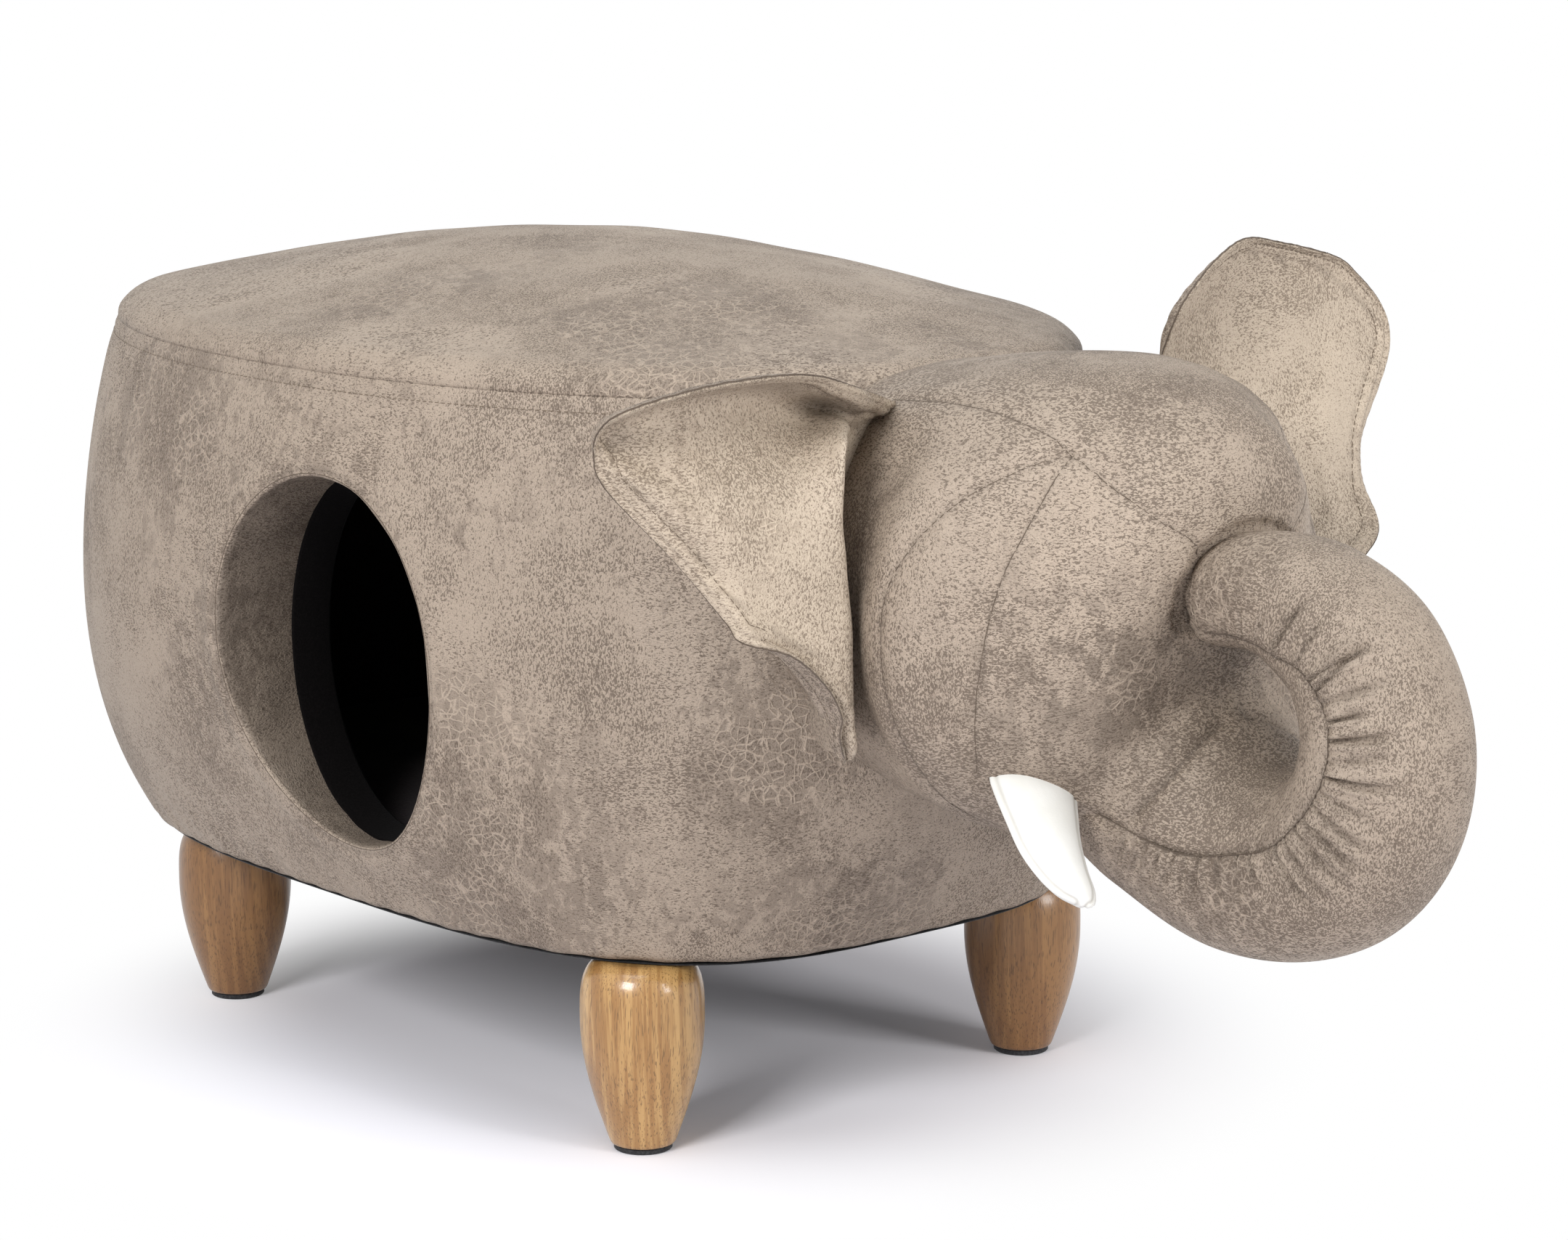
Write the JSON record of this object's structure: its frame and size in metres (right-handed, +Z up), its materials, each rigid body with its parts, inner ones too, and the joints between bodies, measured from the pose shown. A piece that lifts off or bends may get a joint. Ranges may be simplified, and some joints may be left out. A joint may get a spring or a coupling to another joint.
{
  "type": "animal footstool",
  "caption": "Upholstered footstool shaped as an elephant: padded oval seat on turned wooden legs, with a round side entrance to a pet cabin",
  "frame": {"origin": "on the floor under the middle of the overall length, in the plane between the left and right legs", "axes": "+Z up, the elephant looks towards -Y, its left side at +X and the entrance on its right side at -X"},
  "size_m": [0.5196, 0.9398, 0.4423],
  "materials": {
    "taupe_leather": "distressed matt faux leather with fine pebble grain and paler worn patches",
    "pale_leather": "paler faux leather on the ear fronts",
    "white_vinyl": "smooth white vinyl",
    "black_cloth": "matt black cloth",
    "felt": "dark felt",
    "lacquered_wood": "clear gloss lacquer over open vertical grain",
    "board": "plain board, hidden",
    "foam": "open-cell foam, hidden",
    "fibre_fill": "loose fibre filling, hidden",
    "zinc_steel": "zinc-plated fixings, hidden"
  },
  "bodies": {
    "root": {"base_board": "board", "cabin_lining": "black_cloth", "dust_cover": "black_cloth", "entrance_edging": "black_cloth", "entrance_sleeve": "taupe_leather", "foot_pad_front_left": "felt", "foot_pad_front_right": "felt", "foot_pad_rear_left": "felt", "foot_pad_rear_right": "felt", "front_pad": "foam", "front_wall": "board", "hanger_bolt_front_left": "zinc_steel", "hanger_bolt_front_right": "zinc_steel", "hanger_bolt_rear_left": "zinc_steel", "hanger_bolt_rear_right": "zinc_steel", "head_cover": "taupe_leather", "head_stuffing": "fibre_fill", "left_ear_back": "taupe_leather", "left_ear_front": "pale_leather", "left_pad": "foam", "left_tusk": "white_vinyl", "left_wall": "board", "leg_front_left": "lacquered_wood", "leg_front_right": "lacquered_wood", "leg_rear_left": "lacquered_wood", "leg_rear_right": "lacquered_wood", "pet_mat": "black_cloth", "rear_pad": "foam", "rear_wall": "board", "right_ear_back": "taupe_leather", "right_ear_front": "pale_leather", "right_pad": "foam", "right_tusk": "white_vinyl", "right_wall": "board", "seat_board": "board", "seat_foam": "foam", "side_cover": "taupe_leather", "threaded_insert_front_left": "zinc_steel", "threaded_insert_front_right": "zinc_steel", "threaded_insert_rear_left": "zinc_steel", "threaded_insert_rear_right": "zinc_steel", "top_cover": "taupe_leather", "trunk_cover": "taupe_leather", "trunk_stuffing": "fibre_fill"}
  },
  "joints": []
}
